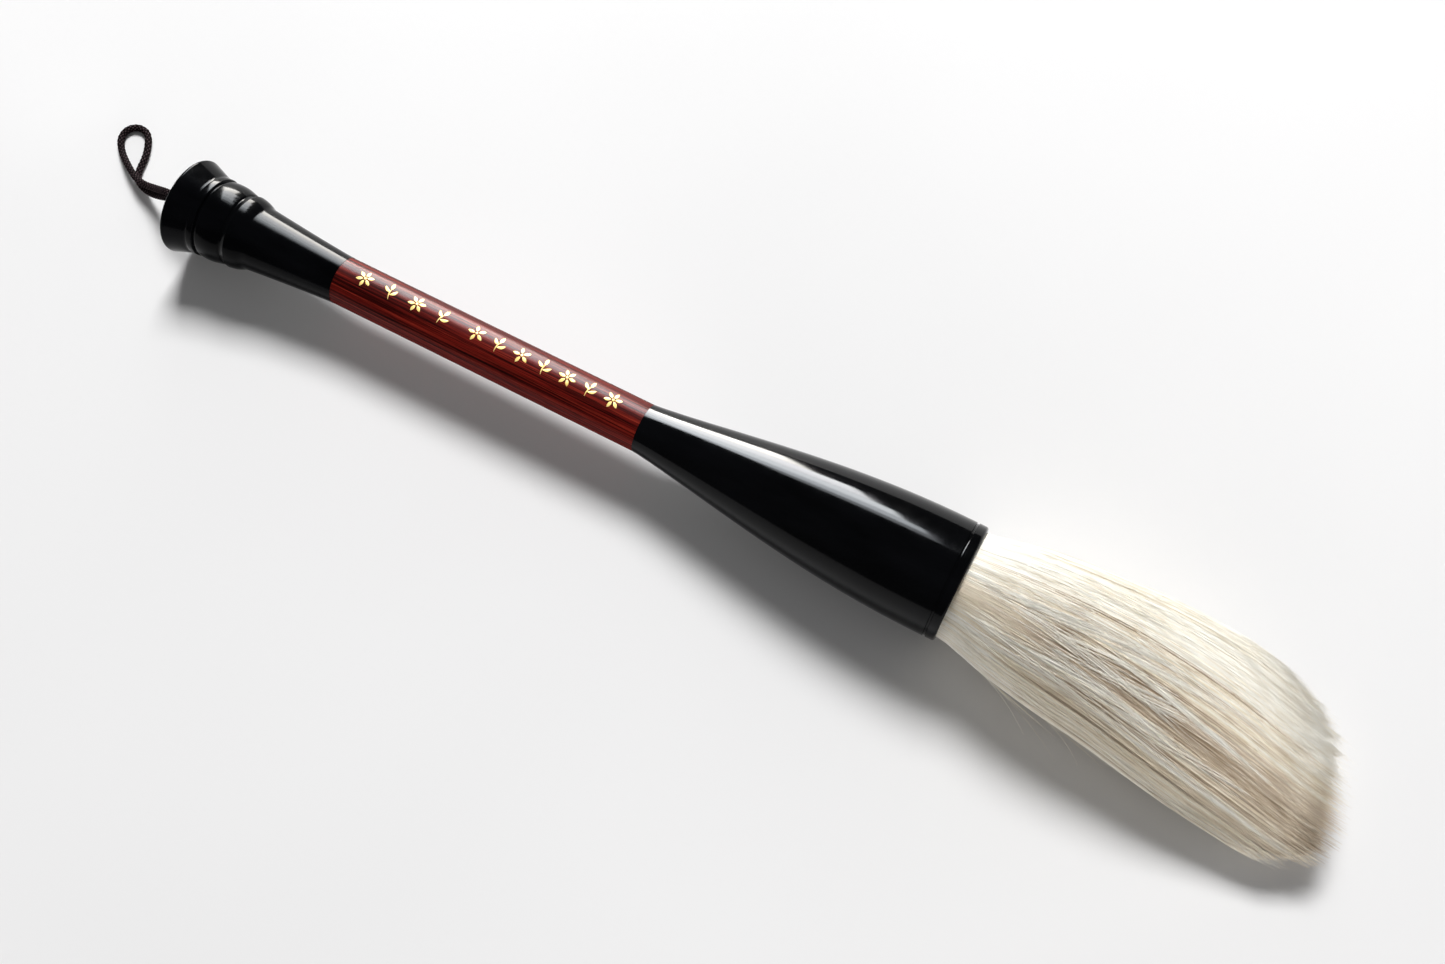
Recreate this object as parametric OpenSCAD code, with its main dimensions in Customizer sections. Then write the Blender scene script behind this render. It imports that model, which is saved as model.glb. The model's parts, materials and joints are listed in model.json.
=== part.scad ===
// A large calligraphy brush lying on a table: a turned black cap with a hanging loop, a rosewood
// shaft, a turned black ferrule and a full tuft of goat hair.
// Millimetres, +Z up, table at z = 0, the brush pointing along +X.
// Turned parts are drawn about +Z, from the cap's end upwards, and laid() lays them down.

/* [Shaft] */
// Diameter of the bare shaft
shaft_d = 12.3; // [10:0.1:13]
// Length of shaft that shows between the cap and the ferrule
shaft_len = 85.5; // [60:0.5:120]
// Diameter of the tenons that hold the shaft in the cap and the ferrule
tenon_d = 7; // [6:0.5:8]

/* [Cap] */
// Length of the cap
cap_len = 46; // [40:1:60]
// Diameter of the cap's rim, which the brush lies on
rim_d = 24.8; // [22:0.2:27]
// Diameter of the hole that the hanging cord comes out of
cord_hole_d = 4; // [4:0.5:5]

/* [Ferrule] */
// Length of the ferrule
ferrule_len = 84; // [70:1:100]
// Diameter of the ferrule at its mouth
mouth_d = 29.2; // [28:0.2:32]
// Diameter of the hair socket at the mouth
socket_d = 26; // [22:0.5:26]

/* [Hair] */
// Length of hair that shows past the ferrule
tuft_len = 95; // [70:1:120]
// Width of the tuft at its belly
belly_w = 45; // [36:1:56]

/* [Cord] */
// Diameter of the hanging cord
cord_d = 1.8; // [1.6:0.1:1.8]

/* [Hidden] */

round_fn = 96;       // segments of a turned part
arc_steps = 8;       // steps of a rounded edge or bead
flare_steps = 16;    // steps of a long flare
flare_power = 1.17;  // how late a flare opens: 1 is a plain sine
slack = 0.05;        // radial room round a glued tenon
step_up = 0.05;      // how much wider the turned ends are than the shaft they meet
play = 0.3;          // room between parts that move apart

shaft_r = shaft_d / 2;
rim_r = rim_d / 2;
mouth_r = mouth_d / 2;

// Distances along the brush from the cap's end
ferrule_at = cap_len + shaft_len;
lip_at = ferrule_at + ferrule_len;

// The brush lies on the cap's rim and the ferrule's lip, so its axis rises a little towards the hair.
tilt = asin((mouth_r - rim_r) / lip_at);
// The brush and its tuft are centred on x = 0; the tilt carries the rim's top 0.1 past the cap's end.
cap_x = -(lip_at + tuft_len - 0.1) / 2;
lip_x = cap_x + lip_at * cos(tilt);
lip_z = rim_r + lip_at * sin(tilt);

// Cap: a flared rim, a ridge, a fine cut, a large bead, a groove, a small bead and a tapering neck
edge_r = 0.7;        // rounding of the rim and the lip
ridge_at = 6;        // end of the rim's flare
ridge_end = 8.1;
ridge_r = 10.4;
cut_r = 9.8;         // floor of the fine cut between the ridge and the large bead
bead_at = 8.8;
bead_end = 15.3;
bead_r = 10.2;       // radius at the start of the large bead
bead_bulge = 0.4;
groove_end = 16;
groove_r = 9.3;      // floor of the groove between the beads
small_bead_at = 16.8;
small_bead_end = 20.6;
small_bead_r = 9.7;
small_bead_bulge = 0.2;
neck_at = 21.2;      // start of the tapering neck
neck_r = 8.3;
dish_r = 9.5;        // shallow dish in the cap's end
dish_depth = 1;
chamber_at = 12;     // floor of the knot's chamber, which runs on into the tenon's bore
cap_tenon = 15.5;

// Ferrule
bell_len = 78;       // length of the flare, before the straight mouth
ferrule_tenon = 17.5;
tenon_bore = 18;
socket_depth = 32;
socket_floor_r = 11;
lip_groove_end = 2.4;    // from the lip
lip_groove_w = 0.5;
lip_groove_depth = 0.3;
lip_groove_slope = 0.1;  // length of the groove's sloping sides

// Hair root, from the socket's floor outwards
resin_h = 6;
binding_h = 6;       // bound stretch of the root
binding_turns = 7;
thread_d = 0.8;
bound_r = 10.2;
dome_r = 15;         // the root ends in a dome about the lip's centre, where the tuft bends
dome_edge_r = 14;

// Cord and knot
leg_gap = 0.1;       // between the two legs of the loop
leg_z = (cord_d + leg_gap) / 2;
leg_start = 1.8;     // where the legs inside the cap start, clear of the loop
knot_at = 15.5;
knot_r = 2.5;

// The loop's route from the cap's end centre on the table: out of the hole with one leg over the
// other, down to the table, round the loop and back under itself. A ring of the tube at each point.
ROUTE = [
    [0.8, 0, 13.35], [-2.5, 0.1, 13.25], [-5.5, 0.3, 12.7], [-8.5, 0.7, 11.3],
    [-11.5, 1.2, 9.1], [-14.6, 1.7, 6.9], [-17.9, 2.1, 5], [-21.3, 2.7, 3.8],
    [-24.1, 3.9, 3.1], [-26.8, 5.4, 2.5], [-29.2, 6.9, 1.8], [-31.2, 8.3, 1.2],
    [-32.7, 9.6, 0.9], [-33.9, 11, 0.9], [-34.7, 12.8, 0.9], [-34.6, 14.7, 0.9],
    [-33.6, 16.2, 0.9], [-31.9, 17, 0.9], [-29.9, 16.8, 0.9], [-28.2, 15.5, 0.9],
    [-26.9, 13.4, 0.9], [-25.9, 11.2, 0.9], [-25.2, 8.9, 0.9], [-24.7, 6.6, 0.9],
    [-23.8, 4.5, 0.9], [-22, 3, 1.1], [-19.5, 2, 1.8], [-16.9, 1.3, 3.1],
    [-14.3, 0.9, 4.6], [-11.4, 0.6, 6.6], [-8.5, 0.3, 8.9], [-5.6, 0.1, 10.6],
    [-2.5, 0, 11.35], [0.8, 0, 11.45]
];
cord_sides = 8;

// Tuft rows: [share of the free length, share of the half width, underside, share of the height]
TUFT_ROWS = [
    [0, 0.59, 1, 0.92], [0.06, 0.66, 0.5, 0.97], [0.15, 0.74, 0.2, 1], [0.29, 0.82, 0, 0.97],
    [0.43, 0.89, 0, 0.88], [0.56, 0.95, 0, 0.78], [0.69, 1, 0, 0.66], [0.8, 0.97, 0, 0.54],
    [0.89, 0.86, 0, 0.42], [0.95, 0.68, 0.3, 0.33], [0.985, 0.46, 1, 0.26], [1, 0.26, 2, 0.21]
];
tuft_h = 2 * lip_z + 1.2;
tuft_sides = 24;
waist_share = 0.45;  // height of a row's widest place, as a share of its height
flat_power = 0.75;   // under 1 squares off the side that lies on the table

// The core hair is a share of each row's size, and past the ends of the cover hair it is the whole tip
core_share = 0.55;
cover_share = 0.84;  // length of the cover hair, as a share of the tuft's

// Points of a circular arc, as [radius, height] pairs
function arc(r, h, size, from, to) =
    [for (i = [0:arc_steps]) let (a = from + (to - from) * i / arc_steps)
        [r + size * cos(a), h + size * sin(a)]];

// A bead: a straight run from [r0, h0] to [r1, h1] with a sine bulge on it
function bead(r0, h0, r1, h1, bulge) =
    [for (i = [0:arc_steps]) let (t = i / arc_steps)
        [r0 + (r1 - r0) * t + bulge * sin(180 * t), h0 + (h1 - h0) * t]];

// The ferrule's flare, which opens from [r0, h0] and runs out straight at [r1, h1]
function flare(r0, h0, r1, h1) =
    [for (i = [0:flare_steps]) let (t = i / flare_steps)
        [r0 + (r1 - r0) * pow(sin(90 * t), flare_power), h0 + (h1 - h0) * t]];

// The cap's neck, which narrows from [r0, h0] and runs out straight at [r1, h1]
function taper(r0, h0, r1, h1) =
    [for (i = [0:flare_steps]) let (t = i / flare_steps)
        [r1 + (r0 - r1) * pow(1 - t, flare_power), h0 + (h1 - h0) * t]];

function unit(v) = v / norm(v);

// Direction of the route at its point i
function heading(p, i) = unit(p[min(i + 1, len(p) - 1)] - p[max(i - 1, 0)]);

// One ring of a tube about point i of a route that never runs straight up or down
function tube_ring(p, i, r, sides) =
    let (along = heading(p, i), side = unit(cross([0, 0, 1], along)), up = cross(along, side))
    [for (k = [0:sides - 1]) let (a = (k + 0.5) * 360 / sides)
        p[i] + r * (cos(a) * side + sin(a) * up)];

// Triangles of a skin over rings of n points each, closed at both ends
function skin_faces(rings, n) = concat(
    [for (j = [0:rings - 2], k = [0:n - 1])
        [j * n + k, (j + 1) * n + (k + 1) % n, j * n + (k + 1) % n]],
    [for (j = [0:rings - 2], k = [0:n - 1])
        [j * n + k, (j + 1) * n + k, (j + 1) * n + (k + 1) % n]],
    [[for (k = [0:n - 1]) k]],
    [[for (k = [n - 1:-1:0]) (rings - 1) * n + k]]
);

// One ring of the tuft at share of its full size, grown by grow: round above its widest place and
// flatter below it
function tuft_ring(row, share, grow) =
    let (w = row[1] * belly_w / 2 * share + grow, low = row[2], high = row[3] * tuft_h,
         waist = low + (high - low) * waist_share,
         rise = (high - waist) * share + grow, drop = (waist - low) * share + grow)
    [for (k = [0:tuft_sides - 1]) let (a = k * 360 / tuft_sides, c = cos(a), s = sin(a))
        s >= 0
            ? [row[0] * tuft_len, w * c, waist + rise * s]
            : [row[0] * tuft_len, w * sign(c) * pow(abs(c), flat_power),
               waist - drop * pow(-s, flat_power)]];

// Lays what is turned about +Z down along the brush
module laid() {
    translate([cap_x, 0, rim_r]) rotate([0, 90 - tilt, 0]) children();
}

module turned(profile) {
    rotate_extrude($fn = round_fn) polygon(profile);
}

module bore(from, to, r) {
    translate([0, 0, from]) cylinder(r = r, h = to - from, $fn = round_fn);
}

module cap() {
    outside = concat(
        [[0, dish_depth], [dish_r - dish_depth, dish_depth], [dish_r, 0]],
        arc(rim_r - edge_r, edge_r, edge_r, -90, 0),
        [[ridge_r, ridge_at], [ridge_r, ridge_end], [cut_r, (ridge_end + bead_at) / 2]],
        bead(bead_r, bead_at, bead_r - edge_r, bead_end, bead_bulge),
        [[groove_r, bead_end + 0.2], [groove_r, groove_end]],
        bead(small_bead_r, small_bead_at, neck_r + 0.2, small_bead_end, small_bead_bulge),
        taper(neck_r, neck_at, shaft_r + step_up, cap_len),
        [[0, cap_len]]
    );
    color([0.03, 0.03, 0.035]) laid() difference() {
        turned(outside);
        bore(-1, chamber_at + 1, cord_hole_d / 2);
        bore(chamber_at, cap_len + 1, tenon_d / 2);
    }
}

module loop_knot() {
    color([0.12, 0.08, 0.07]) laid() union() {
        for (side = [-1, 1]) {
            translate([side * leg_z, 0, leg_start])
                cylinder(d = cord_d, h = knot_at - leg_start, $fn = round_fn);
            translate([0, 0, knot_at + side * cord_d / 2])
                rotate_extrude($fn = round_fn) translate([knot_r - cord_d / 4, 0])
                    circle(d = cord_d, $fn = 32);
        }
        translate([0, 0, knot_at]) sphere(r = knot_r, $fn = 48);
    }
}

module hanging_loop() {
    points = [for (i = [0:len(ROUTE) - 1])
        each tube_ring(ROUTE, i, cord_d / 2, cord_sides)];
    color([0.12, 0.08, 0.07]) translate([cap_x, 0, 0])
        polyhedron(points, skin_faces(len(ROUTE), cord_sides));
}

module shaft() {
    color([0.38, 0.09, 0.06]) laid() union() {
        bore(cap_len, ferrule_at, shaft_r);
        bore(cap_len - cap_tenon, ferrule_at + ferrule_tenon, tenon_d / 2 - slack);
    }
}

module ferrule() {
    groove_end = lip_at - lip_groove_end;
    groove_start = groove_end - lip_groove_w;
    floor_r = mouth_r - lip_groove_depth;
    outside = concat(
        [[0, ferrule_at]],
        flare(shaft_r + step_up, ferrule_at, mouth_r, ferrule_at + bell_len),
        [[mouth_r, groove_start - lip_groove_slope], [floor_r, groove_start],
         [floor_r, groove_end], [mouth_r, groove_end + lip_groove_slope]],
        arc(mouth_r - edge_r, lip_at - edge_r, edge_r, 0, 90),
        [[0, lip_at]]
    );
    socket = [[0, lip_at - socket_depth], [socket_floor_r, lip_at - socket_depth],
              [socket_d / 2, lip_at], [socket_d / 2, lip_at + 1], [0, lip_at + 1]];
    color([0.03, 0.03, 0.035]) laid() difference() {
        turned(outside);
        turned(socket);
        bore(ferrule_at - 1, ferrule_at + tenon_bore, tenon_d / 2);
    }
}

// Radius of the hair socket at a distance from its floor
function socket_r(h) = socket_floor_r + (socket_d / 2 - socket_floor_r) * h / socket_depth;

module root_resin() {
    floor_at = lip_at - socket_depth;
    color([0.45, 0.25, 0.1]) laid()
        turned([[0, floor_at], [socket_floor_r - slack, floor_at],
                [socket_r(resin_h) - slack, floor_at + resin_h], [0, floor_at + resin_h]]);
}

module root_binding() {
    start = lip_at - socket_depth + resin_h + thread_d / 2;
    color([0.8, 0.78, 0.7]) laid()
        for (i = [0:binding_turns - 1])
            translate([0, 0, start + i * (thread_d + slack)])
                rotate_extrude($fn = round_fn) translate([bound_r + thread_d / 2, 0])
                    circle(d = thread_d - slack, $fn = 24);
}

module hair_root() {
    start = lip_at - socket_depth + resin_h;
    bound_end = start + binding_h;
    color([0.93, 0.9, 0.82]) laid()
        turned(concat(
            [[0, start], [bound_r, start], [bound_r, bound_end],
             [socket_r(resin_h + binding_h) - slack, bound_end + 0.6],
             [socket_d / 2 - slack, lip_at]],
            arc(0, lip_at, dome_r, acos(dome_edge_r / dome_r), 90)
        ));
}

module tuft() {
    points = [for (row = TUFT_ROWS) each tuft_ring(row, 1, 0)];
    translate([lip_x, 0, 0]) difference() {
        polyhedron(points, skin_faces(len(TUFT_ROWS), tuft_sides));
        translate([0, 0, lip_z]) sphere(r = dome_r + play, $fn = round_fn);
    }
}

// The form that parts the core from the cover, larger by grow all round
module core_form(grow) {
    points = [for (row = TUFT_ROWS) for (p = tuft_ring(row, core_share, grow))
        p - [row[0] == 0 ? 1 : 0, 0, 0]];
    cover_end = cover_share * tuft_len - grow;
    translate([lip_x, 0, 0]) {
        polyhedron(points, skin_faces(len(TUFT_ROWS), tuft_sides));
        translate([cover_end, -belly_w, -tuft_h]) cube([tuft_len, 2 * belly_w, 3 * tuft_h]);
    }
}

module core_hair() {
    color([0.95, 0.92, 0.84]) intersection() {
        tuft();
        core_form(0);
    }
}

module cover_hair() {
    color([0.96, 0.94, 0.88]) difference() {
        tuft();
        core_form(play);
    }
}

cap();
loop_knot();
hanging_loop();
shaft();
ferrule();
root_resin();
root_binding();
hair_root();
core_hair();
cover_hair();
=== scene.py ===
"""A calligraphy brush lying on a table: the looks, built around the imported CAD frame."""

import json
import math

import bpy
import numpy as np
from mathutils import Euler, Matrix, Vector


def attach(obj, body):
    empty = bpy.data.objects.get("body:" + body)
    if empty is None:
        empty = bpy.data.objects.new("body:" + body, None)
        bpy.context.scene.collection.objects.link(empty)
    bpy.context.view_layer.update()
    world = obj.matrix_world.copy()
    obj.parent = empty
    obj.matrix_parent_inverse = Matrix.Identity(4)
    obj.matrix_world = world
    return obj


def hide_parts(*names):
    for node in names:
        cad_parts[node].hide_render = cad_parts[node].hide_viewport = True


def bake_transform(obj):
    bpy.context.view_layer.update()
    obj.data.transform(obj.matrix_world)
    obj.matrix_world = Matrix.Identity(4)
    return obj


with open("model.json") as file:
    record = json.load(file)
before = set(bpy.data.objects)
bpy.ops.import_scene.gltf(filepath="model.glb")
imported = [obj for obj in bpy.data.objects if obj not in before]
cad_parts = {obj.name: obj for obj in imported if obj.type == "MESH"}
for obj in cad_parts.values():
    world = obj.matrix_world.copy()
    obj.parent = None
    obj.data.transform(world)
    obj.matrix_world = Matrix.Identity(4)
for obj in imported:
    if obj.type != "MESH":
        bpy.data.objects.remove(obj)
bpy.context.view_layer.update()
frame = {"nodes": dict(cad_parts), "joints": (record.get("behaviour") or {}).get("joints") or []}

MM = 0.001
FULL_TURN = 2 * math.pi

# --------------------------------------------------------------- the brush's own axis
# Distances along the brush run from the cap's end, as in the CAD. They and the radii are in
# millimetres, and points in space are in metres.
CAP_LEN = 46
SHAFT_LEN = 85.5
FERRULE_LEN = 84
FERRULE_AT = CAP_LEN + SHAFT_LEN
LIP_AT = FERRULE_AT + FERRULE_LEN
RIM_R = 12.4
MOUTH_R = 14.6
SHAFT_R = 6.15
JOINTS = {joint["name"]: joint for joint in frame["joints"]}
LIP = Vector(JOINTS["tuft_bend"]["pos_m"])
# The brush lies on the cap's rim and the ferrule's mouth, so its axis rises a little to the mouth.
TILT = math.asin((MOUTH_R - RIM_R) / LIP_AT)
ALONG = Vector((math.cos(TILT), 0, math.sin(TILT)))
ACROSS = Vector((0, 1, 0))
UPWARD = Vector((-math.sin(TILT), 0, math.cos(TILT)))
CAP_END = LIP - LIP_AT * MM * ALONG


def on_brush(distance, radius, angle):
    """Points of the brush, in metres, from numbers or arrays; angle runs from its top towards +Y."""
    distance, radius, angle = np.broadcast_arrays(distance, radius, angle)
    out = np.cos(angle)[..., None] * np.array(UPWARD) + np.sin(angle)[..., None] * np.array(ACROSS)
    offset = distance[..., None] * np.array(ALONG) + radius[..., None] * out
    return np.array(CAP_END) + offset * MM


# --------------------------------------------------------------- camera
CAMERA_AT = (0.0667, -0.1297, 0.3905)
CAMERA_AZIMUTH = 28.04
CAMERA_ELEVATION = 69.19
LENS_MM = 42.35


def make_camera():
    """The camera, turned and tilted to look down on the brush."""
    data = bpy.data.cameras.new("camera")
    data.lens = LENS_MM
    data.sensor_width = 36
    data.clip_start = 0.01
    camera = bpy.data.objects.new("camera", data)
    camera.location = CAMERA_AT
    camera.rotation_euler = Euler((math.radians(90 - CAMERA_ELEVATION), 0, math.radians(CAMERA_AZIMUTH)))
    bpy.context.scene.collection.objects.link(camera)
    bpy.context.scene.camera = camera


make_camera()


# --------------------------------------------------------------- mesh helpers
def smoothstep(low, high, value):
    """0 up to low, 1 from high on, and an even S between them."""
    share = np.clip((value - low) / (high - low), 0, 1)
    return share * share * (3 - 2 * share)


def grid_faces(rows, columns):
    """Quads over rows of points that each close on themselves."""
    row = np.arange(rows - 1)[:, None] * columns
    column = np.arange(columns)[None, :]
    after = (column + 1) % columns
    corners = [row + column, row + after, row + columns + after, row + columns + column]
    return np.stack(corners, axis=-1).reshape(-1, 4).tolist()


def end_faces(rows, columns):
    """The two faces that close a tube of rows of points."""
    last = (rows - 1) * columns
    return [list(range(columns))[::-1], list(range(last, last + columns))]


def finish_mesh(name, mesh, body, uv, sharp_angle):
    """Smooth shading, the along map, and the object on its body."""
    mesh.polygons.foreach_set("use_smooth", np.ones(len(mesh.polygons), bool))
    if uv is not None:
        corners = np.zeros(len(mesh.loops), np.int32)
        mesh.loops.foreach_get("vertex_index", corners)
        layer = mesh.uv_layers.new(name="along")
        layer.data.foreach_set("uv", np.asarray(uv, np.float32)[corners].ravel())
    if sharp_angle is not None:
        mesh.set_sharp_from_angle(angle=math.radians(sharp_angle))
    mesh.update()
    made = bpy.data.objects.new(name, mesh)
    bpy.context.scene.collection.objects.link(made)
    if body is not None:
        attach(made, body)
    return made


def make_object(name, points, faces, material, body=None, uv=None, sharp_angle=None):
    """A mesh object in the row frame from points and faces of any size."""
    mesh = bpy.data.meshes.new(name)
    mesh.from_pydata(np.asarray(points).reshape(-1, 3).tolist(), [], faces)
    mesh.materials.append(material)
    return finish_mesh(name, mesh, body, uv, sharp_angle)


def make_triangles(name, points, triangles, material, uv):
    """A mesh object of many triangles, filled in one go."""
    mesh = bpy.data.meshes.new(name)
    mesh.vertices.add(len(points))
    mesh.vertices.foreach_set("co", np.asarray(points, np.float32).ravel())
    mesh.loops.add(triangles.size)
    mesh.loops.foreach_set("vertex_index", triangles.ravel().astype(np.int32))
    mesh.polygons.add(len(triangles))
    mesh.polygons.foreach_set("loop_start", np.arange(0, triangles.size, 3, dtype=np.int32))
    mesh.update(calc_edges=True)
    mesh.materials.append(material)
    return finish_mesh(name, mesh, None, uv, None)


# --------------------------------------------------------------- material helpers
def new_material(name, **values):
    """A material with its Principled shader's own sockets set."""
    material = bpy.data.materials.new(name)
    material.use_nodes = True
    shader = material.node_tree.nodes["Principled BSDF"]
    for socket, value in values.items():
        shader.inputs[socket.replace("_", " ")].default_value = value
    return material, shader


class Tree:
    """Short names for the nodes that the materials share."""

    def __init__(self, material):
        self.nodes = material.node_tree.nodes
        self.links = material.node_tree.links

    def link(self, source, target):
        """Lead one node's output into another's input."""
        self.links.new(source, target)

    def place(self, scale, uv=False):
        """Object coordinates in metres, or the mesh's own along map, times scale."""
        source = self.nodes.new("ShaderNodeTexCoord").outputs["UV" if uv else "Object"]
        mapping = self.nodes.new("ShaderNodeMapping")
        mapping.inputs["Scale"].default_value = scale
        self.link(source, mapping.inputs["Vector"])
        return mapping.outputs["Vector"]

    def across(self):
        """The first number of the mesh's own along map."""
        split = self.nodes.new("ShaderNodeSeparateXYZ")
        self.link(self.place((1, 1, 1), uv=True), split.inputs["Vector"])
        return split.outputs["X"]

    def noise(self, vector, detail=2.0, roughness=0.5, distortion=0.0):
        """Cloudy noise, at the scale that vector already has."""
        node = self.nodes.new("ShaderNodeTexNoise")
        node.inputs["Scale"].default_value = 1
        node.inputs["Detail"].default_value = detail
        node.inputs["Roughness"].default_value = roughness
        node.inputs["Distortion"].default_value = distortion
        self.link(vector, node.inputs["Vector"])
        return node.outputs["Fac"]

    def ramp(self, source, stops):
        """Colours by value; stops are (position, colour) pairs."""
        node = self.nodes.new("ShaderNodeValToRGB")
        elements = node.color_ramp.elements
        while len(elements) < len(stops):
            elements.new(0.5)
        for element, (position, colour) in zip(elements, stops):
            element.position = position
            element.color = (*colour, 1)
        self.link(source, node.inputs["Fac"])
        return node.outputs["Color"]

    def spread(self, source, low, high):
        """A noise's usual range mapped onto low to high."""
        node = self.nodes.new("ShaderNodeMapRange")
        node.inputs["From Min"].default_value = 0.3
        node.inputs["From Max"].default_value = 0.7
        node.inputs["To Min"].default_value = low
        node.inputs["To Max"].default_value = high
        self.link(source, node.inputs["Value"])
        return node.outputs["Result"]

    def multiply(self, factor, a, b):
        """Colour a times colour b, by factor."""
        node = self.nodes.new("ShaderNodeMix")
        node.data_type = "RGBA"
        node.blend_type = "MULTIPLY"
        node.inputs[0].default_value = factor
        self.link(a, node.inputs[6])
        self.link(b, node.inputs[7])
        return node.outputs[2]

    def bump(self, height, shader, strength, distance):
        """Fine relief on the shader, distance metres deep."""
        node = self.nodes.new("ShaderNodeBump")
        node.inputs["Strength"].default_value = strength
        node.inputs["Distance"].default_value = distance
        self.link(height, node.inputs["Height"])
        self.link(node.outputs["Normal"], shader.inputs["Normal"])


# --------------------------------------------------------------- materials
def black_horn(name, smoothest, roughest, ior):
    """Polished black horn: near black, with a faint cloudy figure and fine rubbing marks. A low ior
    keeps the floor's reflection in its sides dark."""
    material, shader = new_material(name, IOR=ior)
    tree = Tree(material)
    cloud = tree.noise(tree.place((40, 160, 160)), detail=4)
    figure = tree.ramp(cloud, [(0.35, (0.0008, 0.0009, 0.0012)), (0.75, (0.0026, 0.0028, 0.0036))])
    tree.link(figure, shader.inputs["Base Color"])
    wear = tree.noise(tree.place((300, 300, 300)), detail=6, roughness=0.65)
    tree.link(tree.spread(wear, smoothest, roughest), shader.inputs["Roughness"])
    turning = tree.noise(tree.place((9000, 60, 60)), detail=2)
    tree.bump(turning, shader, 0.03, 0.00001)
    return material


def rosewood():
    """Varnished rosewood: fine straight grain in red-browns, with dark pores drawn out along it."""
    material, shader = new_material(
        "rosewood", Coat_Weight=0.11, Coat_Roughness=0.22, Specular_IOR_Level=0.03, Roughness=0.5
    )
    tree = Tree(material)
    bands = tree.noise(tree.place((7, 1700, 1700)), detail=3, distortion=0.2)
    fine = tree.noise(tree.place((14, 2600, 2600)), detail=4, roughness=0.7)
    base = tree.ramp(
        bands,
        [(0.35, (0.08, 0.004, 0.003)), (0.5, (0.13, 0.008, 0.005)), (0.65, (0.22, 0.02, 0.011))],
    )
    lines = tree.ramp(fine, [(0.4, (0.16, 0.1, 0.09)), (0.52, (1, 1, 1)), (0.7, (1.35, 1.2, 1.1))])
    pores = tree.noise(tree.place((160, 5200, 5200)), detail=1)
    marks = tree.ramp(pores, [(0.3, (0.25, 0.2, 0.2)), (0.4, (1, 1, 1))])
    grain = tree.multiply(1.0, base, lines)
    tree.link(tree.multiply(0.7, grain, marks), shader.inputs["Base Color"])
    tree.bump(fine, shader, 0.12, 0.00003)
    return material


def gilt():
    """Gold leaf rubbed into fine cuts, a little uneven."""
    material, shader = new_material("gilt", Metallic=0.25, Specular_IOR_Level=0.2)
    tree = Tree(material)
    patch = tree.noise(tree.place((900, 900, 900)), detail=5, roughness=0.7)
    gold = tree.ramp(
        patch,
        [(0.3, (0.7, 0.4, 0.09)), (0.55, (0.95, 0.72, 0.25)), (0.8, (1.0, 0.86, 0.48))],
    )
    tree.link(gold, shader.inputs["Base Color"])
    tree.link(tree.spread(patch, 0.6, 0.4), shader.inputs["Roughness"])
    tree.bump(patch, shader, 0.3, 0.00004)
    return material


def cord_fibre():
    """Near-black braided silk: the along map's first number is 1 on the strands' crowns and 0 between
    them;
    the crowns get painted glints and the gaps painted shade."""
    material, shader = new_material("cord_fibre", Specular_IOR_Level=0.005)
    tree = Tree(material)
    # painted glints on the strands' crowns and painted shade in the gaps between them
    crown_glint_gap_shade = tree.ramp(
        tree.across(),
        [(0.15, (0.0005, 0.0004, 0.0005)), (0.45, (0.01, 0.007, 0.008)), (0.9, (0.075, 0.052, 0.056))],
    )
    fibre = tree.noise(tree.place((2500, 2500, 2500)), detail=3)
    uneven = tree.ramp(fibre, [(0.3, (0.3, 0.3, 0.3)), (0.65, (1.6, 1.6, 1.6))])
    tree.link(tree.multiply(1.0, crown_glint_gap_shade, uneven), shader.inputs["Base Color"])
    tree.link(tree.spread(fibre, 0.7, 0.5), shader.inputs["Roughness"])
    tree.bump(fibre, shader, 0.4, 0.00006)
    return material


def hair_bulk_material():
    """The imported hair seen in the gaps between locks: straw and tan streaks that run along it."""
    material, shader = new_material("hair_bulk", Roughness=0.6, Specular_IOR_Level=0.06)
    tree = Tree(material)
    broad = tree.noise(tree.place((26, 1.2, 1), uv=True), detail=3, distortion=0.3)
    fine = tree.noise(tree.place((420, 5, 1), uv=True), detail=3, roughness=0.6)
    base = tree.ramp(broad, [(0.3, (0.5, 0.38, 0.25)), (0.7, (0.72, 0.6, 0.43))])
    lines = tree.ramp(fine, [(0.3, (0.8, 0.75, 0.66)), (0.6, (1, 1, 1))])
    tree.link(tree.multiply(0.85, base, lines), shader.inputs["Base Color"])
    tree.bump(fine, shader, 0.4, 0.0001)
    return material


def hair_material():
    """Goat hair: the along map's first number picks each hair's shade, from tan to white."""
    material, shader = new_material(
        "goat_hair", Specular_IOR_Level=0.08, Sheen_Weight=0.1, Sheen_Roughness=0.4
    )
    tree = Tree(material)
    shade = tree.ramp(
        tree.across(),
        [
            (0.0, (0.36, 0.27, 0.18)),
            (0.3, (0.75, 0.65, 0.53)),
            (0.62, (0.92, 0.85, 0.69)),
            (0.95, (0.97, 0.95, 0.88)),
        ],
    )
    drift = tree.noise(tree.place((60, 500, 500)), detail=3)
    uneven = tree.ramp(drift, [(0.35, (0.93, 0.91, 0.88)), (0.6, (1, 1, 1))])
    tree.link(tree.multiply(1.0, shade, uneven), shader.inputs["Base Color"])
    tree.link(tree.spread(drift, 0.6, 0.42), shader.inputs["Roughness"])
    return material


def resin():
    """Set rosin: brown, cloudy and glossy in places."""
    material, shader = new_material("root_resin", IOR=1.54, Coat_Weight=0.3)
    tree = Tree(material)
    cloud = tree.noise(tree.place((400, 400, 400)), detail=5)
    brown = tree.ramp(cloud, [(0.3, (0.16, 0.06, 0.015)), (0.7, (0.42, 0.2, 0.06))])
    tree.link(brown, shader.inputs["Base Color"])
    tree.link(tree.spread(cloud, 0.25, 0.5), shader.inputs["Roughness"])
    tree.bump(cloud, shader, 0.3, 0.0002)
    return material


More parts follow.
